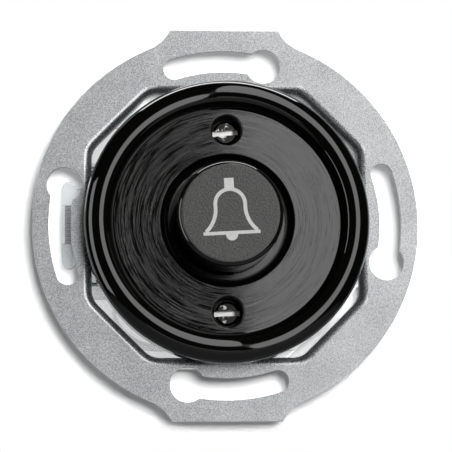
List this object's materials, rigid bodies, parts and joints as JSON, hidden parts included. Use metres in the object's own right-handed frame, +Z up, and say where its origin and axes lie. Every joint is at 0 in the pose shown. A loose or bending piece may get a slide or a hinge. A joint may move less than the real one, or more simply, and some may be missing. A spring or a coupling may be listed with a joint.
{
  "type": "flush bell push insert",
  "caption": "Round flush bell push with a keyhole-slotted steel support ring, a black rimmed cover, a sprung button with a bell sign, and a clear contact base behind.",
  "frame": {"origin": "centre of the fixing circle on the support ring's rear face, which lies on the wall", "axes": "+Z up the wall to the top of the bell sign, -Y out of the wall to the person who presses it, +Y into the wall box, +X to the right seen from the front"},
  "size_m": [0.07, 0.0305, 0.0716],
  "materials": {
    "zinc_plated_steel": "dull zinc plating with a fine grain",
    "black_thermoset": "polished moulding",
    "black_thermoset_button": "polished moulding with a matte face",
    "white_paint": "filled engraving",
    "nickel_plated_steel": "plated",
    "turned_brass": "turned",
    "sheet_brass": "rolled sheet",
    "phosphor_bronze": "rolled strip",
    "contact_silver": "satin",
    "spring_steel": "drawn wire and strip",
    "white_nylon": "moulded",
    "clear_polycarbonate": "clear moulding"
  },
  "bodies": {
    "insert": {"support_ring": "zinc_plated_steel", "front_cover": "black_thermoset", "cover_screw_upper": "nickel_plated_steel", "cover_screw_lower": "nickel_plated_steel", "threaded_bush_upper": "turned_brass", "threaded_bush_lower": "turned_brass", "return_spring": "spring_steel", "base_housing": "clear_polycarbonate", "contact_lid": "clear_polycarbonate", "leaf_terminal_bar": "sheet_brass", "fixed_contact_bar": "sheet_brass", "contact_leaf": "phosphor_bronze", "leaf_rivet": "turned_brass", "bar_rivet": "turned_brass", "fixed_contact_tip": "contact_silver", "clamp_spring_upper": "spring_steel", "clamp_spring_lower": "spring_steel", "lid_screw_right": "nickel_plated_steel", "lid_screw_left": "nickel_plated_steel"},
    "button": {"push_button": "black_thermoset_button", "bell_symbol": "white_paint", "plunger": "white_nylon", "moving_contact_tip": "contact_silver"},
    "lever": {"release_lever": "clear_polycarbonate"}
  },
  "joints": [
    {"name": "button_press", "type": "slide", "parent": "insert", "child": "button", "axis": [0, 1, 0], "range_m": [0, 0.0025], "stiffness_N_per_m": 800, "springref_m": -0.003, "deforming": ["return_spring", "contact_leaf"]},
    {"name": "lever_press", "type": "slide", "parent": "insert", "child": "lever", "axis": [0, 1, 0], "range_m": [0, 0.001], "stiffness_N_per_m": 2000, "springref_m": -0.0005, "deforming": ["clamp_spring_upper", "clamp_spring_lower"]}
  ]
}
